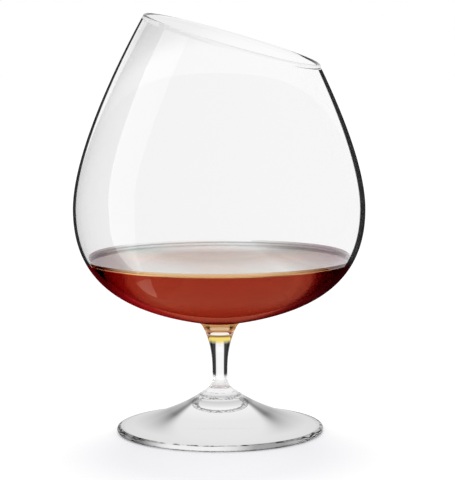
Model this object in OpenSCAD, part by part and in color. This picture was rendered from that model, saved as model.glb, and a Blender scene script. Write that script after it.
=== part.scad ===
// Brandy snifter with a slanted mouth, standing with a measure of brandy in it.
// The origin is the centre of the foot on the table, with +Z up.
// The mouth is highest towards -X and lowest towards +X.

/* [Bowl] */
// Widest outside diameter of the bowl
bowl_d = 85; // [82:0.5:88]
// Diameter at which the knop under the bowl turns into the underside
underside_d = 14; // [12:0.5:16]
// Rise from the start of the underside to the widest place
belly_rise = 33; // [31:0.5:36]
// Rise on the axis from the widest place to the mouth
mouth_rise = 50.5; // [46:0.5:54]
// Slope of the mouth in degrees
mouth_slant = 16.8; // [8:0.2:19]
// Outside diameter that the side curve closes in to at its top end
crown_d = 40.6; // [37:0.2:45]
// Side curve that is cut away above the highest point of the mouth
crown_spare = 1.9; // [1:0.1:4]
// Glass thickness at the mouth
rim_wall = 1.05; // [0.8:0.05:1.3]
// Glass thickness at the widest place
side_wall = 1.2; // [0.9:0.05:1.4]
// Height of the inside floor above the start of the underside
floor_rise = 2.2; // [1.6:0.1:3]

/* [Stem] */
// Height of the knop between the stem's top and the underside
knop_rise = 3.5; // [2.5:0.25:5]
// Diameter of the joint between the stem and the bowl
knop_d = 8.2; // [7:0.2:9.6]
// Length of the stem between its two joints
stem_len = 16; // [12:0.5:24]
// Diameter of the stem at its waist
waist_d = 4.4; // [3.6:0.1:5.2]
// Diameter of the joint between the stem and the foot
ankle_d = 6.6; // [5.6:0.2:8]

/* [Foot] */
// Diameter of the foot
foot_d = 60.6; // [56:0.2:66]
// Height of the foot at the joint with the stem
foot_h = 13; // [10:0.5:16]
// Thickness of the foot at its rounded edge
foot_edge = 1.7; // [1.2:0.1:2.2]
// Width of the flat ring that rests on the table
contact_w = 1.5; // [1:0.1:3]
// Height of the hollow under the foot
hollow_h = 4.4; // [2:0.2:5.6]
// Diameter of the flat top of that hollow
hollow_d = 10; // [8:0.5:14]

/* [Brandy] */
// Depth of the brandy at the middle
brandy_depth = 15.8; // [8:0.2:24]

/* [Hidden] */

// Rise of the underside for each unit of radius, where it leaves the knop
underside_slope_share = 0.2;
// Widening of the stem for each unit of height, where it meets the knop
knop_flare_share = 0.4;
// Widening of the stem for each unit of height, where it meets the foot
ankle_flare_share = 0.6;
// Place of the waist along the stem, from the foot
waist_share = 0.28;
// How far each end of a curve holds its direction, as a share of the curve's own width or height
knop_low_share = 0.5;
knop_high_share = 0.6;
underside_hold_share = 0.51;
belly_low_share = 0.7;
belly_high_share = 0.255;
crown_hold_share = 0.323;
// Closing in of the side for each unit of height, at the crown
crown_slope_share = 0.57;
floor_hold_share = 0.67;
floor_side_share = 0.63;
waist_hold_share = 0.5;
stem_end_share = 0.22;
instep_steep_share = 0.17;
instep_flat_share = 0.45;
hollow_low_share = 0.35;
hollow_high_share = 0.3;
// Direction in which the foot leaves the stem, in degrees below level
instep_angle = 40;
// Slope of the foot's upper face where it meets the rounded edge, in degrees
edge_angle = 11;

knop_h = foot_h + stem_len;
underside_h = knop_h + knop_rise;
belly_h = underside_h + belly_rise;
mouth_h = belly_h + mouth_rise;
crown_rise = mouth_rise + crown_d / 2 * tan(mouth_slant) + crown_spare;
floor_h = underside_h + floor_rise;
edge_r = foot_edge / 2;
waist_h = foot_h + waist_share * stem_len;

// Where each curve starts and ends, as [radius, height]
knop_at = [knop_d / 2, knop_h];
underside_at = [underside_d / 2, underside_h];
belly_at = [bowl_d / 2, belly_h];
belly_in_at = [bowl_d / 2 - side_wall, belly_h];
crown_at = [crown_d / 2, belly_h + crown_rise];
crown_in_at = [crown_d / 2 - rim_wall, belly_h + crown_rise];
floor_at = [0, floor_h];
waist_at = [waist_d / 2, waist_h];
ankle_at = [ankle_d / 2, foot_h];
edge_centre = [foot_d / 2 - edge_r, edge_r];
edge_at = edge_centre + edge_r * [sin(edge_angle), cos(edge_angle)];
contact_at = [foot_d / 2 - edge_r - contact_w, 0];
hollow_at = [hollow_d / 2, hollow_h];

curve_steps = 18;
stem_steps = 10;
edge_steps = 8;
$fn = 120;

// Point at share t of the smooth curve from a to d that sets out towards b and arrives from c
function curve_point(a, b, c, d, t) =
    pow(1 - t, 3) * a + 3 * pow(1 - t, 2) * t * b + 3 * (1 - t) * t * t * c + pow(t, 3) * d;

// Points of such a curve after its start, down to its end
function curve(a, b, c, d, steps) = [for (i = [1:steps]) curve_point(a, b, c, d, i / steps)];

// Outside of the solid knop, from the joint with the stem up to the underside
function knop_curve() = curve(
    knop_at,
    knop_at + knop_low_share * knop_rise * [knop_flare_share, 1],
    underside_at - knop_high_share * (underside_d - knop_d) / 2 * [1, underside_slope_share],
    underside_at,
    stem_steps);

// Outside of the lower bowl, from the knop up to the widest place
function underside_curve() = curve(
    underside_at,
    underside_at + underside_hold_share * (bowl_d - underside_d) / 2 * [1, underside_slope_share],
    belly_at - [0, belly_low_share * belly_rise],
    belly_at,
    curve_steps);

// Side of the bowl from a point at the widest place up to one at the crown, for either face
function side_curve(low, high) = curve(
    low,
    low + [0, belly_high_share * crown_rise],
    high - crown_hold_share * crown_rise * [-crown_slope_share, 1],
    high,
    curve_steps);

// Inside of the bowl, from the middle of the floor up to the widest place
function floor_curve() = curve(
    floor_at,
    floor_at + [floor_hold_share * belly_in_at[0], 0],
    belly_in_at - [0, floor_side_share * (belly_h - floor_h)],
    belly_in_at,
    curve_steps);

// The same points in the opposite order
function reversed(list) = [for (i = [len(list) - 1:-1:0]) list[i]];

// Whole bowl before the mouth is cut, with its inside open at the crown
module bowl_shell() {
    rotate_extrude()
        polygon(concat(
            [[0, knop_h], knop_at],
            knop_curve(),
            underside_curve(),
            side_curve(belly_at, crown_at),
            reversed(side_curve(belly_in_at, crown_in_at)),
            reversed(floor_curve()),
            [floor_at]));
}

// Block whose lower face is the slanted plane of the mouth
module above_mouth() {
    translate([0, 0, mouth_h])
        rotate([0, mouth_slant, 0])
            translate([-bowl_d, -bowl_d, 0])
                cube([2 * bowl_d, 2 * bowl_d, bowl_d]);
}

// Thin closing bowl, cut on a slant at the mouth, with the solid knop it is drawn from
module bowl() {
    color([0.93, 0.95, 0.95, 0.35])
        difference() {
            bowl_shell();
            above_mouth();
        }
}

// Solid drawn stem, narrowest at its waist
module stem() {
    ankle_reach = stem_end_share * (waist_h - foot_h);
    knop_reach = stem_end_share * (knop_h - waist_h);
    color([0.90, 0.92, 0.93, 0.45])
        rotate_extrude()
            polygon(concat(
                [[0, foot_h], ankle_at],
                curve(
                    ankle_at,
                    ankle_at + ankle_reach * [-ankle_flare_share, 1],
                    waist_at - [0, waist_hold_share * (waist_h - foot_h)],
                    waist_at,
                    stem_steps),
                curve(
                    waist_at,
                    waist_at + [0, waist_hold_share * (knop_h - waist_h)],
                    knop_at - knop_reach * [knop_flare_share, 1],
                    knop_at,
                    stem_steps),
                [[0, knop_h]]));
}

// Points round the foot's edge after its start, from the upper face down to the table
function edge_curve() = [for (i = [1:edge_steps])
    edge_centre + edge_r * [sin(edge_turn(i)), cos(edge_turn(i))]];

// Direction of one of those points from the edge's centre, in degrees from straight up
function edge_turn(i) = edge_angle + i / edge_steps * (180 - edge_angle);

// Flared foot with a rounded edge, a flat contact ring and a shallow hollow underneath
module foot() {
    instep_w = edge_at[0] - ankle_at[0];
    hollow_w = contact_at[0] - hollow_at[0];
    color([0.88, 0.90, 0.91, 0.4])
        rotate_extrude()
            polygon(concat(
                [[0, foot_h], ankle_at],
                curve(
                    ankle_at,
                    ankle_at + instep_steep_share * instep_w * [1, -tan(instep_angle)],
                    edge_at + instep_flat_share * instep_w * [-1, tan(edge_angle)],
                    edge_at,
                    curve_steps),
                edge_curve(),
                [contact_at],
                curve(
                    contact_at,
                    contact_at + hollow_low_share * [-hollow_w, hollow_h / 2],
                    hollow_at + [hollow_high_share * hollow_w, 0],
                    hollow_at,
                    curve_steps),
                [[0, hollow_h]]));
}

// Brandy, filling the bowl from its floor to a level top
module brandy() {
    color([0.55, 0.16, 0.07, 0.85])
        intersection() {
            rotate_extrude()
                polygon(concat([floor_at], floor_curve(), [[0, belly_h]]));
            cylinder(d = bowl_d, h = floor_h + brandy_depth);
        }
}

bowl();
stem();
foot();
brandy();
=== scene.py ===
"""Dressed model of a brandy snifter.

It has a clear bowl cut on a slant, a drawn stem, a flared foot and a measure of brandy. Everything is in
metres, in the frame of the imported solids: the origin is the centre of the foot on the table, +Z is up, and
the mouth is highest towards -X.
"""
import logging
import math
from dataclasses import dataclass
from enum import Enum, IntEnum
from typing import Callable

import bpy
from mathutils import Matrix, Vector


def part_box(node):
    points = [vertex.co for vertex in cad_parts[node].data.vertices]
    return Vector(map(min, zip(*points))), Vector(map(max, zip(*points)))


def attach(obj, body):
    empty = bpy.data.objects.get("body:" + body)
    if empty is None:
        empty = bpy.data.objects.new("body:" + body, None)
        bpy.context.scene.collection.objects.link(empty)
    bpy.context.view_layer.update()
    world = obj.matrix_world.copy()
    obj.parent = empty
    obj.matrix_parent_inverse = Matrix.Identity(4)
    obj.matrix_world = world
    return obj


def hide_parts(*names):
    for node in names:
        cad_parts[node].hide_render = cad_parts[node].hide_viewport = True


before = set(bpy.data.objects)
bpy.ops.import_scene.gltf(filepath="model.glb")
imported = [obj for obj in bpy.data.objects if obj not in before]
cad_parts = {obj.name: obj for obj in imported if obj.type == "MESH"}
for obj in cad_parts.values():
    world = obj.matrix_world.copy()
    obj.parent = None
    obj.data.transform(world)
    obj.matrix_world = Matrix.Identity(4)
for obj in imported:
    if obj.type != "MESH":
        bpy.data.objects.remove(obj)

LOG = logging.getLogger("snifter")
MM = 0.001
MERGE = 1e-7
SMOOTH_UNDER = math.radians(50)
FREE = "free_surface"
ROUND = 288
STEM_ROUND = 160

Point = tuple[float, float]
Outline = list[Point]
Colour = tuple[float, float, float]
Place = tuple[float, float, float]
Stops = tuple[tuple[float, Colour], ...]
Socket = bpy.types.NodeSocket
Given = Socket | Colour | float

ACROSS: Place = (1.0, 0.0, 0.0)
UP: Place = (0.0, 0.0, 1.0)
WHITE: Colour = (1.0, 1.0, 1.0)


def grey(level: float) -> Colour:
    """Returns a neutral colour."""
    return level, level, level


def greys(*stops: Point) -> Stops:
    """Returns stops of neutral colours, from pairs of a place and a level."""
    return tuple((place, grey(level)) for place, level in stops)


class Slot(Enum):
    """Material slots of the record. Nothing in this script reads them; the pieces take their finishes from
    the materials made here.
    """

    BOWL = "bowl_glass"
    STEM = "stem_glass"
    FOOT = "foot_glass"
    BRANDY = "brandy"


class BowlZone(IntEnum):
    """Zones of the bowl's surface, in the order of its finishes."""

    DRY_OUTSIDE = 0
    WET_OUTSIDE = 1
    RIM = 2
    DRY_INSIDE = 3
    WET_INSIDE = 4
    FILM = 5
    KNOP = 6


class FootZone(IntEnum):
    """Zones of the foot's surface, in the order of its finishes."""

    TOP = 0
    EDGE = 1
    HOLLOW = 2
    RING = 3


class Touch(IntEnum):
    """What a face of the brandy touches. The mesh keeps it as its mark."""

    GLASS = 0
    AIR_LEVEL = 1
    AIR_CLIMBING = 2


class Ease(Enum):
    """How a ramp goes from one stop to the next."""

    SOFT = "EASE"
    EVEN = "LINEAR"


class Spread(Enum):
    """How a number's range is spread over another."""

    SMOOTH = "SMOOTHSTEP"
    EVEN = "LINEAR"


class Sum(Enum):
    """Sums of two numbers."""

    ADD = "ADD"
    TAKE = "SUBTRACT"
    TIMES = "MULTIPLY"
    LARGER = "MAXIMUM"
    IS_OVER = "GREATER_THAN"


class Mirror(Enum):
    """Which light a clear surface mirrors."""

    ALL = "all light"
    FROM_AIR = "light that comes from the air, or slants inside the glass"
    WHERE_FREE = "all light, where the mesh is marked as a free surface"
    INSIDE = "light that comes through the glass"
    PRESSED = "no light, and what slants inside the glass goes straight on, as the surface is left dull"
    NONE = "no light, as the surface is wetted"


def plus(point: Point, out: float, up: float) -> Point:
    """Returns a point moved outwards and upwards in the plane of the profile."""
    return point[0] + out, point[1] + up


def curve_point(start: Point, lead: Point, trail: Point, end: Point, share: float) -> Point:
    """Finds a point of a smooth curve that sets out towards one point and arrives from another.

    Args:
        start: where the curve begins, as radius and height.
        lead: the point that it sets out towards.
        trail: the point that it arrives from.
        end: where the curve ends.
        share: how far along the curve, from 0 to 1.

    Returns:
        The point, as radius and height.
    """
    rest = 1.0 - share
    weights = (rest ** 3, 3 * rest * rest * share, 3 * rest * share * share, share ** 3)
    corners = (start, lead, trail, end)
    return (sum(w * c[0] for w, c in zip(weights, corners)),
            sum(w * c[1] for w, c in zip(weights, corners)))


def curve(start: Point, lead: Point, trail: Point, end: Point, steps: int) -> Outline:
    """Returns the points of such a curve after its start, down to its end."""
    return [curve_point(start, lead, trail, end, i / steps) for i in range(1, steps + 1)]


def radius_at(points: Outline, height: float) -> tuple[float, int]:
    """Finds the radius of an outline that rises all the way.

    Args:
        points: the outline.
        height: where it is wanted.

    Returns:
        The radius at that height, and the number of the next point over it.
    """
    place = next(i for i, point in enumerate(points) if point[1] > height)
    (low_r, low_h), (high_r, high_h) = points[place - 1], points[place]
    return low_r + (height - low_h) / (high_h - low_h) * (high_r - low_r), place


def with_heights(points: Outline, heights: list[float]) -> Outline:
    """Adds points to an outline that rises all the way, where it passes some heights.

    Args:
        points: the outline.
        heights: heights that have to be among its points.

    Returns:
        The outline with those points.
    """
    for height in heights:
        radius, place = radius_at(points, height)
        points = points[:place] + [(radius, height)] + points[place:]
    return points


@dataclass(frozen=True)
class Profile:
    """Driving sizes of the glass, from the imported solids' boxes and the source's named values.

    Attributes:
        belly_r: radius of the bowl at its widest.
        knop_h: height of the joint between the knop and the stem.
        foot_h: height of the joint between the stem and the foot.
        foot_r: radius of the foot.
        floor_h: height of the middle of the bowl's floor inside.
        fill_h: height of the brandy's level top.
        knop_r: radius of the knop at its joint.
        ankle_r: radius of the stem at the foot.
        waist_r: radius of the stem at its waist.
        waist_share: how far up the stem the waist is.
        knop_rise: height of the knop.
        underside_r: radius where the knop turns into the underside.
        belly_rise: rise from there to the widest place.
        mouth_rise: rise from the widest place to the middle of the mouth.
        mouth_slant: slant of the mouth.
        crown_r: radius at the top end of the side curve.
        crown_spare: how far that end stands over the highest place of the mouth.
        rim_wall: thickness of the wall at the mouth.
        side_wall: thickness of the wall at the widest place.
        foot_edge: thickness of the foot's edge.
        contact_w: width of the flat ring that it stands on.
        hollow_h: height of the hollow under the foot.
        hollow_r: radius of the hollow's roof.
        climb: how far the brandy's edge climbs the wall.
    """

    belly_r: float
    knop_h: float
    foot_h: float
    foot_r: float
    floor_h: float
    fill_h: float
    knop_r: float = 4.1 * MM
    ankle_r: float = 3.3 * MM
    waist_r: float = 2.2 * MM
    waist_share: float = 0.28
    knop_rise: float = 3.5 * MM
    underside_r: float = 7.0 * MM
    belly_rise: float = 33.0 * MM
    mouth_rise: float = 50.5 * MM
    mouth_slant: float = math.radians(16.8)
    crown_r: float = 20.3 * MM
    crown_spare: float = 1.9 * MM
    rim_wall: float = 1.05 * MM
    side_wall: float = 1.2 * MM
    foot_edge: float = 1.7 * MM
    contact_w: float = 1.5 * MM
    hollow_h: float = 4.4 * MM
    hollow_r: float = 5.0 * MM
    climb: float = 1.25 * MM

    @classmethod
    def from_frame(cls) -> "Profile":
        """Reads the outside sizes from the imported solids.

        Returns:
            All the sizes.
        """
        bowl_low, bowl_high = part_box("bowl")
        foot_low, foot_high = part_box("foot")
        brandy_low, brandy_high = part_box("brandy")
        return cls(belly_r=(bowl_high[1] - bowl_low[1]) / 2, knop_h=bowl_low[2], foot_h=foot_high[2],
                   foot_r=(foot_high[0] - foot_low[0]) / 2, floor_h=brandy_low[2], fill_h=brandy_high[2])

    @property
    def underside_h(self) -> float:
        """Height at which the knop turns into the underside."""
        return self.knop_h + self.knop_rise

    @property
    def belly_h(self) -> float:
        """Height of the widest place."""
        return self.underside_h + self.belly_rise

    @property
    def mouth_h(self) -> float:
        """Height on the axis of the plane of the mouth."""
        return self.belly_h + self.mouth_rise

    @property
    def crown_rise(self) -> float:
        """Rise of the side curve from the widest place to its top end."""
        return self.mouth_rise + self.crown_r * math.tan(self.mouth_slant) + self.crown_spare

    @property
    def waist_h(self) -> float:
        """Height of the stem's waist."""
        return self.foot_h + self.waist_share * (self.knop_h - self.foot_h)

    @property
    def film_h(self) -> float:
        """Height of the top of the brandy's climbing edge."""
        return self.fill_h + self.climb


def turned(name: str, outline_at: Callable[[float], Outline], segments: int,
           finish_of: Callable[[Point, Point, int], int] | None = None,
           mark_of: Callable[[Point, Point], int] | None = None) -> bpy.types.Object:
    """Wraps a grid round the axis into a closed body, which may change a little on the way round.

    Args:
        name: name of the piece.
        outline_at: gives the outline for an angle round the axis, from pole to pole, always with as many
            points.
        segments: how many faces go round.
        finish_of: gives the material place of a face from its two outline points and its number, or None.
        mark_of: gives the mark of a face, from its two outline points, or None.

    Returns:
        The new object, at the origin, with its faces outwards.
    """
    first = outline_at(0.0)
    faces = range(len(first) - 1)
    bpy.ops.object.select_all(action="DESELECT")
    bpy.ops.mesh.primitive_grid_add(x_subdivisions=len(faces), y_subdivisions=segments, size=2.0)
    piece = bpy.context.object
    piece.name = piece.data.name = name
    places: list[float] = []
    for row in range(segments + 1):
        angle = math.tau * (row % segments) / segments
        for radius, height in outline_at(angle):
            places += [radius * math.cos(angle), radius * math.sin(angle), height]
    piece.data.vertices.foreach_set("co", places)
    if finish_of:
        finishes = [int(finish_of(first[i], first[i + 1], i)) for i in faces]
        piece.data.polygons.foreach_set("material_index", finishes * segments)
    if mark_of:
        marks = [float(mark_of(first[i], first[i + 1])) for i in faces]
        piece.data.attributes.new(FREE, "FLOAT", "FACE").data.foreach_set("value", marks * segments)
    bpy.ops.object.mode_set(mode="EDIT")
    bpy.ops.mesh.select_all(action="SELECT")
    bpy.ops.mesh.remove_doubles(threshold=MERGE)
    bpy.ops.mesh.normals_make_consistent(inside=False)
    bpy.ops.object.mode_set(mode="OBJECT")
    bpy.ops.object.shade_smooth_by_angle(angle=SMOOTH_UNDER)
    piece.select_set(False)
    return piece


class Tree:
    """A material's or a world's node tree, built a node at a time."""

    BLEND = 0.5

    def __init__(self, owner: bpy.types.Material | bpy.types.World) -> None:
        """Empties the owner's tree.

        Args:
            owner: what the tree belongs to.
        """
        owner.use_nodes = True
        self.tree = owner.node_tree
        self.tree.nodes.clear()

    def add(self, kind: str, inputs: dict[str | int, Given] | None = None,
            **options: object) -> bpy.types.Node:
        """Adds a node.

        Args:
            kind: the node's type, without its common first part.
            inputs: sockets to link and plain colours, places or numbers to set, by the input's name or its
                number.
            options: properties of the node.

        Returns:
            The node.
        """
        node = self.tree.nodes.new("ShaderNode" + kind)
        for name, option in options.items():
            setattr(node, name, option)
        for key, value in (inputs or {}).items():
            socket = node.inputs[key]
            if isinstance(value, bpy.types.NodeSocket):
                self.tree.links.new(value, socket)
            elif isinstance(value, tuple):
                socket.default_value = (*value, 1.0)[:len(socket.default_value)]
            else:
                socket.default_value = value
        return node

    def along(self, line: Place) -> Socket:
        """Adds how far a place of the object lies along a line from its origin."""
        place = self.add("TexCoord").outputs["Object"]
        return self.add("VectorMath", {0: place, 1: line}, operation="DOT_PRODUCT").outputs["Value"]

    def noise(self, scale: float, detail: float) -> Socket:
        """Adds noise that stays with the object."""
        place = self.add("TexCoord").outputs["Object"]
        return self.add("TexNoise", {"Vector": place, "Scale": scale, "Detail": detail}).outputs["Fac"]

    def facing(self) -> Socket:
        """Adds how far the surface faces away, from 0 face on to 1 edge on."""
        return self.add("LayerWeight", {"Blend": self.BLEND}).outputs["Facing"]

    def behind(self) -> Socket:
        """Adds 1 for light that comes from inside the piece, and 0 for other light."""
        return self.add("NewGeometry").outputs["Backfacing"]

    def sum(self, kind: Sum, first: Given, second: Given, clamp: bool = False) -> Socket:
        """Adds a sum of two numbers.

        Args:
            kind: which sum it is.
            first: the first number.
            second: the second number.
            clamp: whether the result stays between 0 and 1.

        Returns:
            The result.
        """
        return self.add("Math", {0: first, 1: second}, operation=kind.value, use_clamp=clamp).outputs[0]

    def spread(self, value: Socket, source: Point, target: Point = (0.0, 1.0),
               how: Spread = Spread.EVEN) -> Socket:
        """Adds a change of a number's range, past which it stays the same.

        Args:
            value: the number.
            source: range that it comes in.
            target: range that it goes out in.
            how: how the one is spread over the other.

        Returns:
            The number in its new range.
        """
        return self.add("MapRange", {"Value": value, "From Min": source[0], "From Max": source[1],
                                     "To Min": target[0], "To Max": target[1]},
                        interpolation_type=how.value).outputs["Result"]

    def ramp(self, share: Socket, stops: Stops, ease: Ease = Ease.EVEN) -> Socket:
        """Adds a colour ramp.

        Args:
            share: what it reads.
            stops: places and colours, in order.
            ease: how it goes from stop to stop.

        Returns:
            Its colour.
        """
        node = self.add("ValToRGB", {"Fac": share})
        elements = node.color_ramp.elements
        node.color_ramp.interpolation = ease.value
        while len(elements) < len(stops):
            elements.new(0.5)
        for element, (place, colour) in zip(elements, stops):
            element.position = place
            element.color = (*colour, 1.0)
        return node.outputs["Color"]

    def tint(self, share: Given, first: Given, second: Given, multiply: bool = False) -> Socket:
        """Adds a mix of two colours.

        Args:
            share: how far it goes from the first to the second.
            first: the first colour.
            second: the second colour.
            multiply: whether it goes to the two multiplied instead.

        Returns:
            The mixed colour.
        """
        return self.add("Mix", {0: share, 6: first, 7: second}, data_type="RGBA",
                        blend_type="MULTIPLY" if multiply else "MIX").outputs[2]

    def blend(self, share: Socket, first: Socket, second: Socket) -> Socket:
        """Adds a mix of two shaders, from the first to the second."""
        return self.add("MixShader", {"Fac": share, 1: first, 2: second}).outputs[0]


@dataclass(frozen=True)
class Glass:
    """Clear glass or liquid, with painted shade at its edges: colours read from how far the surface faces
    away darken it there, standing in for the dark surroundings that glass shows at its edges, besides any
    soak along the light's path.

    Attributes:
        name: name of the material.
        ior: how strongly it bends light.
        stops: colours that a surface leaves of the light, by how far it faces away, or None: painted shade
            and painted reflection tones.
        plain: one colour in place of these.
        other: colours in place of the stops on the +X side, or None: painted shade that sets the one side
            apart from the other.
        half: half the width in which the one side's colours turn into the other's.
        lean: how much the facing grows, for each metre across, away and up, so that the painted edge shade
            reaches further on one side and at one height.
        lean_zero: what is taken off it again.
        mirror: which light it mirrors.
        sheen: share of the light that it mirrors besides, by how far it faces away, or None.
        edge_sheen: that share on the climbing edge of a free surface.
        edge_bands: colours by height in place of the stops on that edge.
        low: height at which the bands begin.
        high: height at which they end.
        bands: colours by height, on top of the stops, or None.
        through: colours in place of the bands for light that comes through the glass, or None.
        hold: how far the stops hold, by height, or None.
        jitter: how far the height that these read wanders up and down.
        breaks: how many times on a metre the hold breaks off, or 0.
        straight: share of the light that goes straight on, by height, or None.
        across: colours by the place from the left to the right, on top of the rest, or None.
        across_half: how far out from the middle these begin and end.
        across_turn: angle from X towards Y of the line along which the place is taken.
        wave: depth of the waves of the surface.
        wave_scale: how many waves there are on a metre.
        waves: how far the waves hold, by height, or None where they hold all over.
        soak: colour of the light that stays after passing through, or None.
        soak_density: how fast the rest is lost, for each metre.
        shade: colour that each surface leaves of the light in the shadow.
        slant_inside: facing between which light inside the glass begins to be mirrored.
        slant_on: facing between which light inside a dull surface begins to go straight on.
        wander: part of the noise's range over which a height wanders.
        break_at: noise between which the hold comes back.
        break_hold: how far it holds before and after.
        wave_detail: how fine the waves and the breaks are.
        wander_detail: how fine the wandering is.
    """

    name: str
    ior: float
    stops: Stops | None = None
    plain: Colour = WHITE
    other: Stops | None = None
    half: float = 18 * MM
    lean: Place = (0.0, 0.0, 0.0)
    lean_zero: float = 0.0
    mirror: Mirror = Mirror.ALL
    sheen: Stops | None = None
    edge_sheen: float = 0.0
    edge_bands: Stops = ()
    low: float = 0.0
    high: float = 1.0
    bands: Stops | None = None
    through: Stops | None = None
    hold: Stops | None = None
    jitter: float = 0.0
    breaks: float = 0.0
    straight: Stops | None = None
    across: Stops | None = None
    across_half: float = 40 * MM
    across_turn: float = 0.0
    wave: float = 0.0
    wave_scale: float = 400.0
    waves: Stops | None = None
    soak: Colour | None = None
    soak_density: float = 0.0
    shade: Colour = (0.885, 0.885, 0.90)
    slant_inside: Point = (0.10, 0.20)
    slant_on: Point = (0.150, 0.240)
    wander: Point = (0.3, 0.7)
    break_at: Point = (0.42, 0.55)
    break_hold: Point = (0.35, 1.0)
    wave_detail: float = 2.0
    wander_detail: float = 3.0

    def share_of_height(self, tree: Tree) -> Socket:
        """Builds how far up a place is, from the low height to the high one.

        Args:
            tree: node tree to build in.

        Returns:
            The share.
        """
        up = tree.along(UP)
        if self.jitter:
            noise = tree.noise(self.wave_scale, self.wander_detail)
            up = tree.sum(Sum.ADD, up, tree.spread(noise, self.wander, (-self.jitter, self.jitter)))
        return tree.spread(up, (self.low, self.high))

    def relief(self, tree: Tree) -> dict[str, Socket]:
        """Builds the waves of the surface.

        Args:
            tree: node tree to build in.

        Returns:
            What a shader is given of them, by the name of its input.
        """
        if not self.wave:
            return {}
        noise = tree.noise(self.wave_scale, self.wave_detail)
        strength = tree.ramp(self.share_of_height(tree), self.waves) if self.waves else 1.0
        bump = tree.add("Bump", {"Height": noise, "Strength": strength, "Distance": self.wave})
        return {"Normal": bump.outputs["Normal"]}

    def marked(self, tree: Tree, touch: Touch) -> Socket:
        """Builds 1 where the mesh has a mark, or one after it in their order, and 0 elsewhere."""
        mark = tree.add("Attribute", attribute_name=FREE).outputs["Fac"]
        return tree.sum(Sum.IS_OVER, mark, touch.value - 0.5)

    def seen(self, tree: Tree, touch: Touch) -> Socket:
        """Builds 1 where a face that is so marked is seen from above, and 0 elsewhere."""
        return tree.sum(Sum.TAKE, self.marked(tree, touch), tree.behind(), clamp=True)

    def share_mirrored(self, tree: Tree) -> Socket:
        """Builds how far the surface mirrors besides bending.

        Args:
            tree: node tree to build in.

        Returns:
            The share.
        """
        if self.mirror is Mirror.WHERE_FREE:
            return self.marked(tree, Touch.AIR_LEVEL)
        if self.mirror is Mirror.INSIDE:
            return tree.behind()
        upright = tree.spread(tree.facing(), self.slant_inside, (1.0, 0.0), Spread.SMOOTH)
        return tree.sum(Sum.TAKE, 1.0, tree.sum(Sum.TIMES, tree.behind(), upright))

    def bend(self, tree: Tree, colour: Given) -> Socket:
        """Builds the surface that bends light, and mirrors it as far as it does.

        Args:
            tree: node tree to build in.
            colour: colour that the surface leaves of the light.

        Returns:
            Its shader.
        """
        given = {"Color": colour, "IOR": self.ior, "Roughness": 0.0, **self.relief(tree)}
        if self.mirror is Mirror.ALL:
            return tree.add("BsdfGlass", given).outputs[0]
        bent = tree.add("BsdfRefraction", given).outputs[0]
        if self.mirror in (Mirror.NONE, Mirror.PRESSED):
            return bent
        return tree.blend(self.share_mirrored(tree), bent, tree.add("BsdfGlass", given).outputs[0])

    def surface(self, tree: Tree, colour: Given) -> Socket:
        """Builds the clear surface.

        Args:
            tree: node tree to build in.
            colour: colour that the surface leaves of the light.

        Returns:
            Its shader.
        """
        shader = self.bend(tree, colour)
        if self.sheen:
            shine = tree.add("BsdfGlossy", {"Color": colour, "Roughness": 0.0}).outputs[0]
            share = tree.ramp(tree.facing(), self.sheen)
            level = tree.sum(Sum.TIMES, share, self.seen(tree, Touch.AIR_LEVEL))
            edge = tree.sum(Sum.TIMES, self.seen(tree, Touch.AIR_CLIMBING), self.edge_sheen)
            shader = tree.blend(tree.sum(Sum.LARGER, level, edge), shader, shine)
        if self.mirror is Mirror.PRESSED:
            share = tree.sum(Sum.TIMES, tree.behind(), tree.spread(tree.facing(), self.slant_on))
            shader = tree.blend(share, shader, tree.add("BsdfTransparent", {"Color": colour}).outputs[0])
        if self.straight:
            share = tree.ramp(self.share_of_height(tree), self.straight)
            shader = tree.blend(share, shader, tree.add("BsdfTransparent", {"Color": colour}).outputs[0])
        return shader

    def slant(self, tree: Tree) -> Socket:
        """Builds how far the surface faces away, with its lean.

        Args:
            tree: node tree to build in.

        Returns:
            The number that the stops are read by.
        """
        facing = tree.facing()
        if not any(self.lean):
            return facing
        return tree.sum(Sum.TAKE, tree.sum(Sum.ADD, facing, tree.along(self.lean)), self.lean_zero)

    def colour(self, tree: Tree) -> Given:
        """Builds the colour that the surface leaves of the light.

        Args:
            tree: node tree to build in.

        Returns:
            The colour, which is a plain one where it is the same all over.
        """
        colour: Given = self.plain
        if self.stops:
            slant = self.slant(tree)
            colour = tree.ramp(slant, self.stops, Ease.SOFT)
            if self.other:
                side = tree.spread(tree.along(ACROSS), (-self.half, self.half))
                colour = tree.tint(side, colour, tree.ramp(slant, self.other, Ease.SOFT))
        if self.mirror is Mirror.WHERE_FREE:
            level = tree.tint(self.seen(tree, Touch.AIR_LEVEL), WHITE, colour)
            edge = tree.ramp(self.share_of_height(tree), self.edge_bands)
            colour = tree.tint(self.seen(tree, Touch.AIR_CLIMBING), level, edge)
        if self.bands:
            colour = self.with_bands(tree, colour)
        return self.with_across(tree, colour) if self.across else colour

    def with_bands(self, tree: Tree, colour: Given) -> Socket:
        """Builds the colours by height with a colour on top of them, as far as it holds.

        Args:
            tree: node tree to build in.
            colour: the colour.

        Returns:
            The two together.
        """
        share = self.share_of_height(tree)
        band = tree.ramp(share, self.bands)
        if self.through:
            band = tree.tint(tree.behind(), band, tree.ramp(share, self.through))
        hold: Given = tree.ramp(share, self.hold) if self.hold else 1.0
        if self.breaks:
            noise = tree.noise(self.breaks, self.wave_detail)
            kept = tree.spread(noise, self.break_at, self.break_hold, Spread.SMOOTH)
            hold = tree.sum(Sum.TIMES, hold, kept)
        return tree.tint(hold, band, colour, multiply=True)

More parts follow.
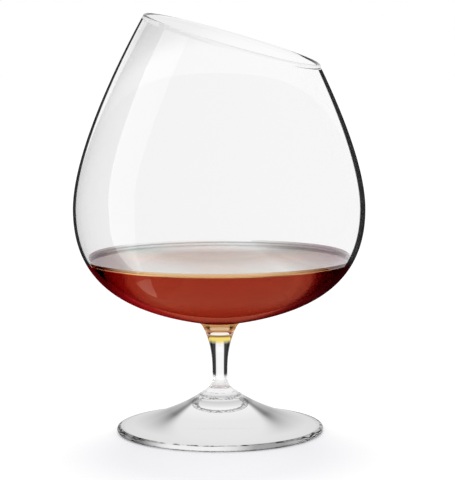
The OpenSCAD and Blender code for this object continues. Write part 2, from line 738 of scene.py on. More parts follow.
    def with_across(self, tree: Tree, colour: Given) -> Socket:
        """Builds a colour with what the colours by the place across leave of it.

        Args:
            tree: node tree to build in.
            colour: the colour.

        Returns:
            What is left, which on a liquid is less only on its level top.
        """
        line = (math.cos(self.across_turn), math.sin(self.across_turn), 0.0)
        share = tree.spread(tree.along(line), (-self.across_half, self.across_half))
        hold: Given = self.seen(tree, Touch.AIR_LEVEL) if self.mirror is Mirror.WHERE_FREE else 1.0
        return tree.tint(hold, colour, tree.ramp(share, self.across), multiply=True)

    def make(self) -> bpy.types.Material:
        """Builds the material.

        Returns:
            The material.
        """
        material = bpy.data.materials.new(self.name)
        tree = Tree(material)
        clear = self.surface(tree, self.colour(tree))
        shade = tree.add("BsdfTransparent", {"Color": self.shade}).outputs[0]
        ends = {"Surface": tree.blend(tree.add("LightPath").outputs["Is Shadow Ray"], clear, shade)}
        if self.soak:
            soak = tree.add("VolumeAbsorption", {"Color": self.soak, "Density": self.soak_density})
            ends["Volume"] = soak.outputs["Volume"]
        tree.add("OutputMaterial", ends)
        return material


CLEAR = 1.5
SOFT_CLEAR = 1.25
SPIRIT = 1.36
# Painted shade: the lean by which the bowl outside's dark edge line is wider on the +X side.
PAINTED_SHADE_SIDE_LEAN = 0.036 / (42.5 * MM)
# Painted glow: gold tones that stand in for the brandy's light seen in the clear knop and the top of the
# stem.
PAINTED_GLOW_WARM: Colour = (0.80, 0.565, 0.35)
PAINTED_GLOW_PALE: Colour = (0.99, 0.88, 0.45)
PAINTED_GLOW_DEEP: Colour = (0.50, 0.37, 0.18)
# Painted reflection tones and painted shade for the brandy's level top, by place across: pale and warm where
# it mirrors light, mauve darkening towards its ends.
PALE: Colour = (0.95, 0.97, 0.97)
WARM: Colour = (0.93, 0.89, 0.87)
MAUVE: Colour = (0.58, 0.53, 0.52)
MAUVE_DEEP: Colour = (0.42, 0.32, 0.35)
FOOT_SHADE: Colour = (0.79, 0.79, 0.82)

# Painted shade: the dry outside turns nearly black where it faces away, standing in for dark surroundings
# seen at the edge, wider on the +X side and lower down.
DRY_OUTSIDE = Glass("clear_bowl_outside", CLEAR, greys((0.756, 0.985), (0.782, 0.03)),
                    lean=(PAINTED_SHADE_SIDE_LEAN, 0.0, -0.3), lean_zero=-0.021, mirror=Mirror.FROM_AIR)
# Painted shade: under the brandy the outside turns dark maroon to black where it faces away, reaching further
# in higher up, darker on the +X side than on the -X side, and darker towards the bottom by height.
WET_OUTSIDE = Glass("clear_bowl_below_the_brandy", CLEAR,
                    ((0.12, WHITE), (0.39, (0.96, 0.82, 0.76)), (0.455, (0.80, 0.42, 0.36)),
                     (0.515, (0.52, 0.06, 0.08)), (0.60, (0.30, 0.006, 0.01)), (0.68, (0.17, 0.003, 0.006))),
                    other=((0.12, WHITE), (0.39, (0.84, 0.74, 0.72)), (0.455, (0.66, 0.42, 0.40)),
                           (0.51, (0.24, 0.03, 0.04)), (0.56, (0.10, 0.006, 0.008)),
                           (0.68, (0.05, 0.002, 0.004))),
                    lean=(0.0, 0.0, 28.5), lean_zero=1.395, low=32.5 * MM, high=42.5 * MM,
                    bands=((0.0, (0.26, 0.06, 0.045)), (0.08, (0.30, 0.09, 0.06)), (0.20, (0.50, 0.17, 0.11)),
                           (0.44, (0.80, 0.32, 0.20)), (0.64, (0.95, 0.42, 0.30)), (0.84, (1.0, 0.80, 0.74)),
                           (1.0, WHITE)))
# Painted shade: the rim turns a little grey where it faces away.
RIM = Glass("clear_rim", SOFT_CLEAR, greys((0.5, 0.97), (0.95, 0.85)))
# Painted shade: the dry inside turns grey where it faces away near the mouth, more on the -X side than on the
# +X side.
DRY_INSIDE = Glass("clear_bowl_inside", CLEAR, greys((0.40, 0.98), (0.85, 0.87)),
                   other=greys((0.40, 0.99), (0.95, 0.985)), mirror=Mirror.INSIDE,
                   lean=(0.0, 0.0, 50.0), lean_zero=5.25)
WET_INSIDE = Glass("clear_bowl_wetted", CLEAR, mirror=Mirror.NONE)
# Painted glow: gold bands by height in the knop stand in for the brandy's light; it also greys a little where
# it faces away, as painted shade.
KNOP_GLASS = Glass("clear_knop", CLEAR, greys((0.6, 1.0), (0.95, 0.9)), low=29.0 * MM, high=32.5 * MM,
                   bands=((0.0, WHITE), (0.24, WHITE), (0.32, PAINTED_GLOW_WARM), (0.9, PAINTED_GLOW_WARM),
                          (1.0, (0.76, 0.48, 0.33))),
                   straight=greys((0.0, 0.0), (0.30, 0.0), (0.50, 0.75), (1.0, 0.9)))
# Painted shade and painted glow: the stem turns nearly black where it faces away, standing in for dark
# surroundings seen at its sides, and gold bands near its top stand in for the brandy's light.
STEM_GLASS = Glass("clear_stem_glass", CLEAR, greys((0.13, 0.985), (0.19, 0.05), (0.50, 0.04), (0.68, 0.75)),
                   low=16.0 * MM, high=29.0 * MM,
                   bands=((0.0, WHITE), (0.78, WHITE), (0.86, PAINTED_GLOW_PALE), (0.945, PAINTED_GLOW_PALE),
                          (0.965, PAINTED_GLOW_DEEP), (0.985, PAINTED_GLOW_DEEP), (1.0, WHITE)),
                   hold=greys((0.0, 0.0), (0.09, 1.0), (0.78, 1.0), (0.88, 0.0)),
                   straight=greys((0.0, 0.7), (0.04, 0.6), (0.12, 0.0)),
                   wave=0.25 * MM, wave_scale=900.0, waves=greys((0.0, 1.0), (0.10, 0.0)))
# Painted shade: the foot's top greys where it faces away on its slope, and greys in rings by height near the
# stem and a little over its lower part.
FOOT_GLASS = Glass("clear_foot_glass", CLEAR, greys((0.55, 0.985), (0.64, 0.25), (0.76, 0.52), (1.0, 0.82)),
                   low=0.0, high=13.0 * MM, mirror=Mirror.INSIDE,
                   bands=greys((0.0, 0.84), (0.45, 0.86), (0.60, 0.93), (0.66, 0.96), (0.70, 0.80),
                               (0.76, 0.66), (0.80, 0.92), (0.86, 0.72), (0.92, 0.95)),
                   hold=greys((0.0, 0.0), (0.20, 0.05), (0.48, 1.0), (0.72, 0.9), (0.80, 0.2)),
                   wave=0.30 * MM, wave_scale=700.0, shade=FOOT_SHADE,
                   waves=greys((0.0, 0.0), (0.62, 0.0), (0.72, 0.5), (1.0, 0.7)))
# Painted shade: the foot's rounded edge turns dark where it faces away, in lines broken by height and noise,
# darker part way out to the -X and +X sides than in its middle.
EDGE_GLASS = Glass("clear_foot_edge", CLEAR, greys((0.24, 0.97), (0.36, 0.35), (0.52, 0.05), (0.97, 0.15)),
                   low=0.0, high=1.7 * MM, mirror=Mirror.INSIDE, bands=greys((0.0, 0.97), (1.0, 0.97)),
                   jitter=0.40 * MM, wave_scale=420.0, breaks=140.0,
                   across=greys((0.13, 0.80), (0.19, 0.42), (0.30, 0.38), (0.37, 0.85), (0.42, 0.97),
                                (0.58, 0.97), (0.64, 0.80), (0.70, 0.42), (0.79, 0.38), (0.86, 0.75)),
                   hold=greys((0.0, 0.1), (0.08, 0.9), (0.18, 0.9), (0.26, 0.2), (0.34, 0.2), (0.40, 1.0),
                              (0.54, 1.0), (0.60, 0.1), (0.66, 0.1), (0.72, 1.0), (0.90, 1.0), (1.0, 0.2)),
                   wave=0.15 * MM, shade=FOOT_SHADE)
HOLLOW_GLASS = Glass("clear_foot_hollow", CLEAR, plain=grey(0.985), mirror=Mirror.PRESSED, shade=FOOT_SHADE)
# Painted shade: the pontil ring turns grey where it faces away.
RING_GLASS = Glass("clear_foot_ring", CLEAR, greys((0.0, 0.9), (0.5, 0.5), (1.0, 0.5)), mirror=Mirror.PRESSED,
                   wave=0.5 * MM, wave_scale=900.0, shade=FOOT_SHADE)


def film_glass(profile: Profile) -> Glass:
    """Makes the finish of the bowl's inside under the brandy's film, with painted shade low on the film and
    towards its -X and +X ends, and a painted gold glow in the light that comes through the glass.

    Args:
        profile: driving sizes of the glass.

    Returns:
        The finish.
    """
    return Glass("clear_bowl_under_the_film", CLEAR, mirror=Mirror.NONE,
                 low=profile.fill_h, high=profile.film_h,
                 bands=greys((0.0, 0.56), (0.2, 0.74), (0.45, 0.92), (0.7, 1.0)),
                 through=((0.0, (1.0, 0.60, 0.24)), (0.25, (1.0, 0.68, 0.32)), (0.5, (1.0, 0.78, 0.48)),
                          (0.75, (1.0, 0.88, 0.70)), (1.0, (1.0, 0.95, 0.90))),
                 across=((0.05, (0.45, 0.37, 0.35)), (0.28, WHITE), (0.72, WHITE),
                         (0.95, (0.50, 0.36, 0.32))))


def amber(profile: Profile) -> Glass:
    """Makes the finish of the brandy. Its soak is its own colour; the tones on its level top, by how far it
    faces away and by place across, and on its climbing edge by height, are painted reflections and painted
    shade.

    Args:
        profile: driving sizes of the glass.

    Returns:
        The finish.
    """
    return Glass("amber_brandy", SPIRIT,
                 ((0.60, (0.86, 0.54, 0.30)), (0.78, (0.90, 0.72, 0.55)), (0.84, WHITE),
                  (0.8565, (0.91, 0.88, 0.86)), (0.8645, (0.90, 0.87, 0.84)), (0.8675, (0.77, 0.79, 0.74)),
                  (0.870, (0.565, 0.625, 0.608)), (0.8723, (0.74, 0.78, 0.79)), (0.878, WHITE)),
                 mirror=Mirror.WHERE_FREE, low=profile.fill_h, high=profile.film_h,
                 sheen=greys((0.70, 0.0), (0.75, 0.88), (0.8575, 0.88), (0.8615, 0.62), (0.8645, 0.50),
                             (0.8675, 0.40), (0.8723, 0.30)),
                 edge_sheen=0.80,
                 edge_bands=greys((0.0, 0.88), (0.15, 0.80), (0.32, 0.50), (0.45, 0.52), (0.62, 0.80),
                                  (0.80, 1.0)),
                 across=((0.05, MAUVE_DEEP), (0.13, MAUVE), (0.20, PALE), (0.28, PALE), (0.40, WARM),
                         (0.50, WARM), (0.68, PALE), (0.83, MAUVE), (0.93, MAUVE_DEEP)),
                 across_turn=math.radians(22), soak=(0.849, 0.534, 0.43), soak_density=100.0)


def fit(piece: bpy.types.Object, finishes: list[Glass], node: str) -> None:
    """Gives a piece its materials and its place on the body, and hides the solid that it stands for.

    Args:
        piece: the piece.
        finishes: its finishes, in the order of its zones.
        node: the solid that it stands for.
    """
    for finish in finishes:
        piece.data.materials.append(finish.make())
    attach(piece, "root")
    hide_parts(node)
    LOG.info("%s stands for %s, %d faces", piece.name, node, len(piece.data.polygons))


@dataclass(frozen=True)
class Bowl:
    """Thin closing bowl with a slanted fire-polished mouth, and the solid knop under it.

    The shares say where each curve's inner points lie, as a part of the width or the rise that it covers.

    Attributes:
        p: driving sizes of the glass.
        knop_steps: faces up the knop.
        floor_steps: faces from the knop to the widest place, inside and outside alike.
        side_steps: faces from the widest place to the mouth.
        rim_steps: faces over the rim.
        lip_steps: last faces of the outside that have the rim's finish.
        halvings: how often the search for the mouth halves what is left.
        mouth_low: share of the side curve that is always under the mouth.
        knop_low: rise of the knop's lower inner point.
        knop_high: reach of its upper one.
        knop_flare: how far the lower one leans out.
        underside_slope: slope of the underside where it leaves the knop.
        underside_hold: reach of the underside's lower inner point.
        belly_low: how far under the widest place the wall runs upright.
        belly_high: how far over it.
        crown_hold: reach of the inner point under the crown.
        crown_slope: how far the wall closes there.
        floor_hold: how far the floor runs level.
        floor_side: how far the inside runs upright under the widest place.
    """

    p: Profile
    knop_steps: int = 24
    floor_steps: int = 72
    side_steps: int = 72
    rim_steps: int = 12
    lip_steps: int = 1
    halvings: int = 40
    mouth_low: float = 0.3
    knop_low: float = 0.5
    knop_high: float = 0.6
    knop_flare: float = 0.4
    underside_slope: float = 0.2
    underside_hold: float = 0.51
    belly_low: float = 0.7
    belly_high: float = 0.255
    crown_hold: float = 0.323
    crown_slope: float = 0.57
    floor_hold: float = 0.67
    floor_side: float = 0.63

    def knop_curve(self) -> Outline:
        """Finds the outside of the solid knop.

        Returns:
            Its points, from the joint with the stem to the underside.
        """
        p = self.p
        start, end = (p.knop_r, p.knop_h), (p.underside_r, p.underside_h)
        low = self.knop_low * p.knop_rise
        high = self.knop_high * (end[0] - start[0])
        return [start] + curve(start, plus(start, self.knop_flare * low, low),
                               plus(end, -high, -self.underside_slope * high), end, self.knop_steps)

    def underside_curve(self) -> Outline:
        """Finds the outside of the lower bowl.

        Returns:
            Its points after the knop, up to the widest place.
        """
        p = self.p
        start, end = (p.underside_r, p.underside_h), (p.belly_r, p.belly_h)
        out = self.underside_hold * (end[0] - start[0])
        points = curve(start, plus(start, out, self.underside_slope * out),
                       plus(end, 0.0, -self.belly_low * p.belly_rise), end, self.floor_steps)
        return with_heights(points, [p.fill_h])

    def side_point(self, share: float, inside: bool) -> Point:
        """Finds a point of the side curve, which runs from the widest place to the crown.

        Args:
            share: how far along the curve, from 0 to 1.
            inside: whether it is the inner curve.

        Returns:
            The point, as radius and height.
        """
        p = self.p
        low = (p.belly_r - (p.side_wall if inside else 0.0), p.belly_h)
        high = (p.crown_r - (p.rim_wall if inside else 0.0), p.belly_h + p.crown_rise)
        hold = self.crown_hold * p.crown_rise
        return curve_point(low, plus(low, 0.0, self.belly_high * p.crown_rise),
                           plus(high, self.crown_slope * hold, -hold), high, share)

    def floor_curve(self, into_glass: float = 0.0) -> Outline:
        """Finds the inside from the middle of the floor to the widest place.

        Args:
            into_glass: how far it is moved into the glass.

        Returns:
            Its points, with one at each end of the brandy's climbing edge.
        """
        p = self.p
        start, end = (0.0, p.floor_h - into_glass), (p.belly_r - p.side_wall + into_glass, p.belly_h)
        upright = self.floor_side * (end[1] - start[1])
        points = [start] + curve(start, plus(start, self.floor_hold * end[0], 0.0), plus(end, 0.0, -upright),
                                 end, self.floor_steps)
        return with_heights(points, [p.fill_h, p.film_h])

    def wall_to_mouth(self, angle: float, inside: bool) -> Outline:
        """Finds the side curve up to the plane of the mouth.

        Args:
            angle: angle round the axis.
            inside: whether it is the inner curve.

        Returns:
            Its points after the widest place.
        """
        p, low, high = self.p, self.mouth_low, 1.0
        for _ in range(self.halvings):
            middle = (low + high) / 2
            radius, height = self.side_point(middle, inside)
            plane = p.mouth_h - 0.5 * p.rim_wall - radius * math.cos(angle) * math.tan(p.mouth_slant)
            low, high = (middle, high) if height < plane else (low, middle)
        share = (low + high) / 2
        return [self.side_point(share * i / self.side_steps, inside) for i in range(1, self.side_steps + 1)]

    def rim_curve(self, outer: Point, inner: Point) -> Outline:
        """Finds the half round of the fire-polished rim.

        Args:
            outer: end of the outer wall.
            inner: end of the inner wall.

        Returns:
            The points between the two.
        """
        middle = ((outer[0] + inner[0]) / 2, (outer[1] + inner[1]) / 2)
        half = ((outer[0] - inner[0]) / 2, (outer[1] - inner[1]) / 2)
        turns = [math.pi * i / self.rim_steps for i in range(1, self.rim_steps)]
        return [(middle[0] + half[0] * math.cos(turn) - half[1] * math.sin(turn),
                 middle[1] + half[1] * math.cos(turn) + half[0] * math.sin(turn)) for turn in turns]

    def outline(self, angle: float) -> Outline:
        """Finds the whole outline.

        Args:
            angle: angle round the axis.

        Returns:
            Its points, from the knop's middle over the rim to the floor's middle.
        """
        outer, inner = self.wall_to_mouth(angle, False), self.wall_to_mouth(angle, True)
        return ([(0.0, self.p.knop_h)] + self.knop_curve() + self.underside_curve() + outer
                + self.rim_curve(outer[-1], inner[-1]) + inner[::-1] + self.floor_curve()[::-1])

    def zone(self, low: Point, high: Point, number: int) -> BowlZone:
        """Finds the zone of a face.

        Args:
            low: first outline point of the face.
            high: second outline point of the face.
            number: number of the face along the outline.

        Returns:
            The zone.
        """
        outside = self.knop_steps + self.floor_steps + self.side_steps + 1
        middle = (low[1] + high[1]) / 2
        wet = middle < self.p.fill_h
        if number <= self.knop_steps:
            return BowlZone.KNOP
        if number <= outside - self.lip_steps:
            return BowlZone.WET_OUTSIDE if wet else BowlZone.DRY_OUTSIDE
        if number <= outside + self.rim_steps:
            return BowlZone.RIM
        if wet:
            return BowlZone.WET_INSIDE
        return BowlZone.FILM if middle < self.p.film_h else BowlZone.DRY_INSIDE

    def build(self) -> bpy.types.Object:
        """Models the bowl."""
        return turned("clear_bowl", self.outline, ROUND, self.zone)

    def dress(self, piece: bpy.types.Object) -> None:
        """Gives the bowl its finishes."""
        piece.visible_diffuse = False
        fit(piece, [DRY_OUTSIDE, WET_OUTSIDE, RIM, DRY_INSIDE, WET_INSIDE, film_glass(self.p), KNOP_GLASS],
            "bowl")


@dataclass(frozen=True)
class Stem:
    """Solid drawn stem, narrowest at its waist, that runs a hair into the knop and the foot it is fused to.

    Attributes:
        p: driving sizes of the glass.
        fused: how far it runs into each.
        low_steps: faces from the foot to the waist.
        high_steps: faces from the waist to the knop.
        waist_hold: share of each rise over which the waist runs upright.
        end_share: share over which each end runs out.
        ankle_flare: how far the lower end leans, for each rise.
        knop_flare: how far the upper end leans.
    """

    p: Profile
    fused: float = 0.03 * MM
    low_steps: int = 24
    high_steps: int = 48
    waist_hold: float = 0.5
    end_share: float = 0.22
    ankle_flare: float = 0.6
    knop_flare: float = 0.4

    def outline(self, angle: float) -> Outline:
        """Finds the whole outline.

        Args:
            angle: angle round the axis, at each of which it is the same.

        Returns:
            Its points, from the foot up to the knop.
        """
        p = self.p
        ankle, waist, knop = (p.ankle_r, p.foot_h), (p.waist_r, p.waist_h), (p.knop_r, p.knop_h)
        low, high = p.waist_h - p.foot_h, p.knop_h - p.waist_h
        low_end, high_end = self.end_share * low, self.end_share * high
        return ([(0.0, p.foot_h - self.fused), (p.ankle_r, p.foot_h - self.fused), ankle]
                + curve(ankle, plus(ankle, -self.ankle_flare * low_end, low_end),
                        plus(waist, 0.0, -self.waist_hold * low), waist, self.low_steps)
                + curve(waist, plus(waist, 0.0, self.waist_hold * high),
                        plus(knop, -self.knop_flare * high_end, -high_end), knop, self.high_steps)
                + [(p.knop_r, p.knop_h + self.fused), (0.0, p.knop_h + self.fused)])

    def build(self) -> bpy.types.Object:
        """Models the stem."""
        return turned("drawn_stem", self.outline, STEM_ROUND)

    def dress(self, piece: bpy.types.Object) -> None:
        """Gives the stem its finish."""
        piece.visible_glossy = False
        fit(piece, [STEM_GLASS], "stem")


@dataclass(frozen=True)
class Foot:
    """Flared foot with a rounded edge, a flat contact ring and a shallow hollow underneath.

    Attributes:
        p: driving sizes of the glass.
        instep: slope of the top where it leaves the stem.
        edge: slope of the top where it reaches the edge.
        steep_share: share of the width over which the first slope holds.
        flat_share: share over which the second does.
        hollow_low: share of the hollow's width over which its rim rises.
        hollow_slope: rise there, as a share of the hollow's height for each share of its width.
        hollow_high: share over which its roof runs level.
        top_steps: faces down the top.
        lip_steps: last faces of the top that have the edge's finish.
        edge_steps: faces round the edge.
        hollow_steps: faces up the hollow.
        ring_steps: last of these that the grainy ring takes.
        ring_h: height of that ring.
        grain: how far its height changes on the way round.
        grain_waves: how many waves of grain go round, and where each begins.
        ripple_r: radius within which the top has turned rings.
        ripple_gap: distance from ring to ring.
        ripple_h: height of a ring.
    """

    p: Profile
    instep: float = math.radians(40)
    edge: float = math.radians(11)
    steep_share: float = 0.17
    flat_share: float = 0.45
    hollow_low: float = 0.35
    hollow_slope: float = 0.5
    hollow_high: float = 0.3
    top_steps: int = 160
    lip_steps: int = 2
    edge_steps: int = 20
    hollow_steps: int = 96
    ring_steps: int = 8
    ring_h: float = 0.50 * MM
    grain: float = 0.30 * MM
    grain_waves: tuple[Point, ...] = ((31, 0.0), (53, 1.0), (83, 2.0))
    ripple_r: float = 8.0 * MM
    ripple_gap: float = 1.35 * MM
    ripple_h: float = 0.07 * MM

    def tool_marks(self, point: Point) -> Point:
        """Moves a point of the top by the turned rings round the joint.

        Args:
            point: the point.

        Returns:
            The point on the rings.
        """
        inside = min(1.0, max(0.0, (self.ripple_r - point[0]) / self.ripple_gap))
        rings = self.ripple_h * inside * math.sin(math.tau * (point[0] - self.p.ankle_r) / self.ripple_gap)
        return plus(point, 0.0, rings)

    def pontil_ring(self, points: Outline, angle: float) -> Outline:
        """Presses a grainy ring into the last steps of the hollow.

        Args:
            points: the hollow's outline.
            angle: angle round the axis.

        Returns:
            The outline with the ring.
        """
        waves = [math.cos(wave * angle + start) for wave, start in self.grain_waves]
        height = self.ring_h + self.grain * (sum(waves) / len(waves))
        first = len(points) - self.ring_steps - 1
        return points[:first] + [plus(point, 0.0, height * math.sin(math.pi * i / self.ring_steps))
                                 for i, point in enumerate(points[first:])]

    def top_curve(self, ankle: Point, edge: Point) -> Outline:
        """Finds the top of the foot.

        Args:
            ankle: where it leaves the stem.
            edge: where it reaches the rounded edge.

        Returns:
            Its points after the first.
        """
        steep, flat = self.steep_share * (edge[0] - ankle[0]), self.flat_share * (edge[0] - ankle[0])
        return [self.tool_marks(point)
                for point in curve(ankle, plus(ankle, steep, -steep * math.tan(self.instep)),
                                   plus(edge, -flat, flat * math.tan(self.edge)), edge, self.top_steps)]

    def hollow_curve(self, contact: Point, angle: float) -> Outline:
        """Finds the hollow under the foot.

        Args:
            contact: where it leaves the table.
            angle: angle round the axis.

        Returns:
            Its points after the first.
        """
        roof = (self.p.hollow_r, self.p.hollow_h)
        under = contact[0] - roof[0]
        lead = plus(contact, -self.hollow_low * under, self.hollow_low * self.hollow_slope * self.p.hollow_h)
        trail = plus(roof, self.hollow_high * under, 0.0)
        return self.pontil_ring(curve(contact, lead, trail, roof, self.hollow_steps), angle)

    def outline(self, angle: float) -> Outline:
        """Finds the whole outline.

        Args:
            angle: angle round the axis.

        Returns:
            Its points, from the joint with the stem over the edge to the middle of the hollow.
        """
        p, ankle, edge_r = self.p, (self.p.ankle_r, self.p.foot_h), self.p.foot_edge / 2
        centre = (p.foot_r - edge_r, edge_r)
        contact = (centre[0] - p.contact_w, 0.0)
        rest = math.pi - self.edge
        turns = [self.edge + rest * i / self.edge_steps for i in range(self.edge_steps + 1)]
        edge = [plus(centre, edge_r * math.sin(turn), edge_r * math.cos(turn)) for turn in turns]
        return ([(0.0, p.foot_h), ankle] + self.top_curve(ankle, edge[0]) + edge[1:] + [contact]
                + self.hollow_curve(contact, angle) + [(0.0, p.hollow_h)])

    def zone(self, low: Point, high: Point, number: int) -> FootZone:
        """Finds the zone of a face.

        Args:
            low: first outline point of the face; not used.
            high: second outline point of the face; not used.
            number: number of the face along the outline.

        Returns:
            The zone.
        """
        ring_end = self.top_steps + self.edge_steps + self.hollow_steps + 2
        if ring_end - self.ring_steps <= number < ring_end:
            return FootZone.RING
        if number > self.top_steps + self.edge_steps + 1:
            return FootZone.HOLLOW
        return FootZone.EDGE if number > self.top_steps - self.lip_steps else FootZone.TOP

    def build(self) -> bpy.types.Object:
        """Models the foot."""
        return turned("flared_foot", self.outline, ROUND, self.zone)

    def dress(self, piece: bpy.types.Object) -> None:
        """Gives the foot its finishes."""
        piece.visible_glossy = False
        fit(piece, [FOOT_GLASS, EDGE_GLASS, HOLLOW_GLASS, RING_GLASS], "foot")


@dataclass(frozen=True)
class Brandy:
    """The measure of brandy, with its climbing edge, running a hair into the glass so that no air shows.

    Attributes:
        p: driving sizes of the glass.
        bowl: the bowl that holds it.
        into_glass: how far it runs into the glass.
        film: thickness of the climbing edge.
        thin: share of that thickness at its ends.
        swell_at: how far down the edge it is thickest.
        film_steps: faces down the edge.
        top_steps: faces over the level top.
    """

    p: Profile
    bowl: Bowl
    into_glass: float = 0.05 * MM
    film: float = 0.15 * MM
    thin: float = 0.05
    swell_at: float = 0.7
    film_steps: int = 24
    top_steps: int = 12

    def climbing_edge(self) -> Outline:
        """Finds the edge that climbs the wall.

        Returns:
            Its points, from its top down to the level of the brandy.
        """
        wall, points = self.bowl.floor_curve(), []
        for i in range(self.film_steps + 1):
            share = i / self.film_steps
            height = self.p.film_h - share * self.p.climb
            swell = share / self.swell_at if share < self.swell_at else (1.0 - share) / (1.0 - self.swell_at)
            points.append((radius_at(wall, height)[0] - self.film * (self.thin + swell), height))
        return points

    def outline(self, angle: float) -> Outline:
        """Finds the whole outline.

        Args:
            angle: angle round the axis, at each of which it is the same.

        Returns:
            Its points, from the middle of the floor up the wall, down the climbing edge and in over the top.
        """
        wall = [point for point in self.bowl.floor_curve(self.into_glass) if point[1] <= self.p.film_h]
        edge = self.climbing_edge()
        shares = [1.0 - i / self.top_steps for i in range(1, self.top_steps + 1)]
        return wall + edge + [(edge[-1][0] * share, self.p.fill_h) for share in shares]

    def touch(self, low: Point, high: Point) -> Touch:
        """Finds what a face touches.

        Args:
            low: first outline point of the face.
            high: second outline point of the face.

        Returns:
            Its mark.
        """
        if high[0] >= low[0]:
            return Touch.GLASS
        return Touch.AIR_LEVEL if high[1] == low[1] else Touch.AIR_CLIMBING

    def build(self) -> bpy.types.Object:
        """Models the brandy."""
        return turned("brandy_measure", self.outline, ROUND, mark_of=self.touch)

    def dress(self, piece: bpy.types.Object) -> None:
        """Gives the brandy its finish."""
        piece.visible_shadow = piece.visible_diffuse = False
        fit(piece, [amber(self.p)], "brandy")


@dataclass(frozen=True)
class Card:
    """A card beside the set that shows only in what the glass mirrors.

    Attributes:
        name: name of the card.
        corners: corners as the photographer sees them, in millimetres.
        glow: how bright it is, where 1 is white.
        colour: colour of its light.
    """

    name: str
    corners: tuple[Place, ...]
    glow: float
    colour: Colour = WHITE


def upright(right: float, corners: list[Point]) -> tuple[Place, ...]:
    """Returns the corners of an upright card that stands edge on to the photographer."""
    return tuple((right, away, up) for away, up in corners)


def level(up: float, corners: list[Point]) -> tuple[Place, ...]:
    """Returns the corners of a level card."""
    return tuple((right, away, up) for right, away in corners)


SOFT_LIGHT = Card("soft_light", glow=1.9, corners=upright(-600.0, [
    (52, 583), (98, 474), (98, 360), (77, 248), (50, 166), (15, 43), (22, -114), (217, -575), (460, -860),
    (660, -1288), (-23, -715), (-250, -137), (-270, 68), (-236, 222), (-230, 332), (-260, 507), (-334, 712),
    (-493, 1023), (-760, 1500), (20, 1300)]))
BLACK_FLAG = Card("black_flag", glow=0.0, corners=upright(-60.0, [
    (-90, -80), (-90, 13), (-29.8, 13), (-27.3, 50), (-27.3, 66), (-24.3, 78.5), (-21.5, 89.5), (-17.3, 109),
    (-13.2, 132), (-13.2, 153), (-13, 175), (30, 175), (30, -80)]))
LOW_LIGHT = Card("low_light", glow=0.9, colour=(1.0, 0.9, 0.8), corners=level(0.5, [
    (-67, -15.3), (-62.3, -12.5), (-52.8, -8.1), (-43.3, -5.1), (-35.7, -4.9), (-38.6, -13.2), (-45.2, -21.6),
    (-51.9, -30), (-55.8, -34)]))
DARK_GROUND = Card("dark_ground", glow=0.12, colour=(1.0, 0.8, 0.5), corners=level(-700.0, [
    (-1000, -1000), (1000, -1000), (1000, 1000), (-1000, 1000)]))


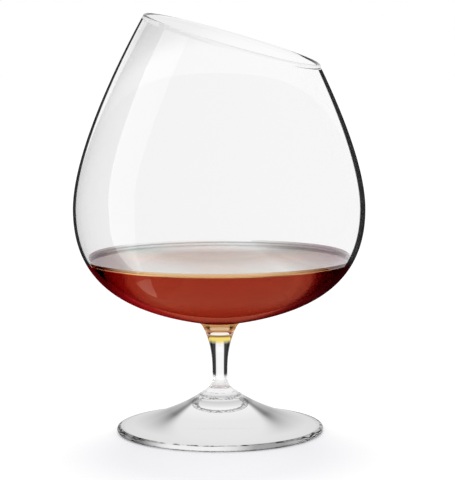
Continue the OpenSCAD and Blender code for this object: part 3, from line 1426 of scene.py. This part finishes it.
@dataclass(frozen=True)
class Studio:
    """Pale table, white surroundings and soft lights, with the camera where the photograph was taken from.

    Attributes:
        turn: how far round from -Y to +X the camera stands.
        frame_h: longer side of the photograph's frame, in pixels.
        focal_px: focal length, in pixels of that frame.
        sensor: width of the sensor, in Blender's own unit.
        clip: nearest and farthest distance that is rendered.
        distance: level distance from the glass to the camera.
        height: height of the camera.
        pitch: how far it looks down.
        pan: how far it looks to the right.
        roll: how far it is rolled.
        ambient: strength of the surroundings as a light, where they are seen as 1.
        table_size: length of a side of the table top.
        table_tone: how much light the table top throws back.
        table_lift: what is added where it is seen.
        table_slant: facing between which it goes from its near tone to its far one, seen through glass; the
            darker near tone is painted shade.
        table_through: those two tones.
        lamp_spread: how wide the lamp is, as an angle.
        lamp_power: strength of the lamp.
        lamp_at: where the lamp stands, as the photographer sees it, in millimetres.
        bounces: how often light goes on in all.
        glossy_bounces: how often it is mirrored.
    """

    turn: float = math.radians(13.24)
    frame_h: int = 480
    focal_px: float = 2002.0
    sensor: float = 36.0
    clip: Point = (0.05, 20.0)
    distance: float = 0.580
    height: float = 0.1225
    pitch: float = math.radians(6.50)
    pan: float = math.radians(0.235)
    roll: float = math.radians(-0.245)
    ambient: float = 0.45
    table_size: float = 6.0
    table_tone: float = 0.98
    table_lift: float = 0.08
    table_slant: Point = (0.15, 0.45)
    table_through: Point = (0.85, 0.96)
    lamp_spread: float = math.radians(28)
    lamp_power: float = 2.05
    lamp_at: Place = (0.0, 500.0, 900.0)
    bounces: int = 32
    glossy_bounces: int = 16

    def towards_camera(self) -> Vector:
        """Returns the level direction from the glass to the camera."""
        return Vector((math.sin(self.turn), -math.cos(self.turn), 0.0))

    def to_the_right(self) -> Vector:
        """Returns the level direction to the photographer's right."""
        back = self.towards_camera()
        return Vector((-back.y, back.x, 0.0))

    def place(self, right: float, away: float, up: float) -> Vector:
        """Returns a place given as seen by the photographer, in millimetres from the foot's centre."""
        return (self.to_the_right() * right - self.towards_camera() * away + Vector(UP) * up) * MM

    def camera(self) -> None:
        """Adds the camera."""
        back, side, up = self.towards_camera(), self.to_the_right(), Vector(UP)
        ahead = (-back * math.cos(self.pan) + side * math.sin(self.pan)).normalized()
        right = ahead.cross(up)
        ahead = ahead * math.cos(self.pitch) - up * math.sin(self.pitch)
        over = right.cross(ahead)
        right_rolled = right * math.cos(self.roll) + over * math.sin(self.roll)
        over_rolled = over * math.cos(self.roll) - right * math.sin(self.roll)
        data = bpy.data.cameras.new("camera")
        data.sensor_width = self.sensor
        data.lens = self.focal_px * self.sensor / self.frame_h
        data.clip_start, data.clip_end = self.clip
        camera = bpy.data.objects.new("camera", data)
        bpy.context.scene.collection.objects.link(camera)
        turn = Matrix((right_rolled, over_rolled, -ahead)).transposed().to_4x4()
        camera.matrix_world = Matrix.Translation(back * self.distance + up * self.height) @ turn
        bpy.context.scene.camera = camera

    def world(self) -> None:
        """Makes the white surroundings, which are weaker as a light than they look."""
        world = bpy.data.worlds.new("white_surroundings")
        bpy.context.scene.world = world
        tree = Tree(world)
        path = tree.add("LightPath").outputs
        seen = tree.sum(Sum.LARGER, path["Is Camera Ray"], path["Is Transmission Ray"])
        also = tree.sum(Sum.LARGER, seen, path["Is Glossy Ray"])
        strength = tree.spread(also, (0.0, 1.0), (self.ambient, 1.0))
        background = tree.add("Background", {"Color": WHITE, "Strength": strength})
        tree.add("OutputWorld", {"Surface": background.outputs[0]})

    def table(self) -> None:
        """Adds the pale table top, which glass shows white, with painted shade where it is seen steeply
        through the glass, and which keeps the object's shadow.
        """
        bpy.ops.object.select_all(action="DESELECT")
        bpy.ops.mesh.primitive_plane_add(size=self.table_size, location=(0, 0, 0))
        table = bpy.context.object
        table.name = "table_top"
        table.visible_glossy = False
        material = bpy.data.materials.new("pale_table")
        tree = Tree(material)
        matt = tree.add("BsdfDiffuse", {"Color": grey(self.table_tone)}).outputs[0]
        lift = tree.add("Emission", {"Strength": self.table_lift}).outputs[0]
        lifted = tree.add("AddShader", {0: matt, 1: lift}).outputs[0]
        # Painted shade: seen steeply through the glass, the table glows less.
        tone = tree.spread(tree.facing(), self.table_slant, self.table_through, Spread.SMOOTH)
        white = tree.add("Emission", {"Strength": tone}).outputs[0]
        path = tree.add("LightPath").outputs
        seen = tree.blend(path["Is Camera Ray"], matt, lifted)
        through = tree.blend(path["Is Transmission Ray"], seen, white)
        tree.add("OutputMaterial", {"Surface": through})
        table.data.materials.append(material)

    def stand(self, card: Card) -> None:
        """Adds a card.

        Args:
            card: the card.
        """
        bpy.ops.object.select_all(action="DESELECT")
        bpy.ops.mesh.primitive_circle_add(vertices=len(card.corners), fill_type="NGON")
        sheet = bpy.context.object
        sheet.name = card.name
        places: list[float] = []
        for corner in card.corners:
            places += list(self.place(*corner))
        sheet.data.vertices.foreach_set("co", places)
        sheet.data.update()
        sheet.visible_camera = sheet.visible_diffuse = sheet.visible_transmission = False
        sheet.visible_volume_scatter = sheet.visible_shadow = False
        material = bpy.data.materials.new(card.name)
        material.cycles.emission_sampling = "NONE"
        tree = Tree(material)
        light = tree.add("Emission", {"Color": card.colour, "Strength": card.glow})
        tree.add("OutputMaterial", {"Surface": light.outputs[0]})
        sheet.data.materials.append(material)

    def lamp(self) -> None:
        """Adds the soft light high behind the glass, which throws its shadow towards the photographer."""
        data = bpy.data.lights.new("high_back_light", "SUN")
        data.angle = self.lamp_spread
        data.energy = self.lamp_power
        lamp = bpy.data.objects.new("high_back_light", data)
        bpy.context.scene.collection.objects.link(lamp)
        lamp.rotation_euler = self.place(*self.lamp_at).to_track_quat("Z", "Y").to_euler()
        lamp.visible_glossy = lamp.visible_transmission = False

    def build(self) -> None:
        """Sets up the whole studio."""
        self.camera()
        self.world()
        self.lamp()
        self.table()
        for card in (SOFT_LIGHT, BLACK_FLAG, LOW_LIGHT, DARK_GROUND):
            self.stand(card)
        scene = bpy.context.scene
        scene.view_settings.view_transform = "Standard"
        scene.cycles.max_bounces = self.bounces
        scene.cycles.transmission_bounces = self.bounces
        scene.cycles.transparent_max_bounces = self.bounces
        scene.cycles.glossy_bounces = self.glossy_bounces
        scene.cycles.caustics_reflective = True
        scene.cycles.caustics_refractive = True


def main() -> None:
    """Builds the studio and each piece of the glass in order."""
    logging.basicConfig(level=logging.INFO, format="%(name)s: %(message)s")
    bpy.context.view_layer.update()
    Studio().build()
    profile = Profile.from_frame()
    bowl = Bowl(profile)
    for part in (bowl, Stem(profile), Foot(profile), Brandy(profile, bowl)):
        part.dress(part.build())


if __name__ == "__main__":
    main()
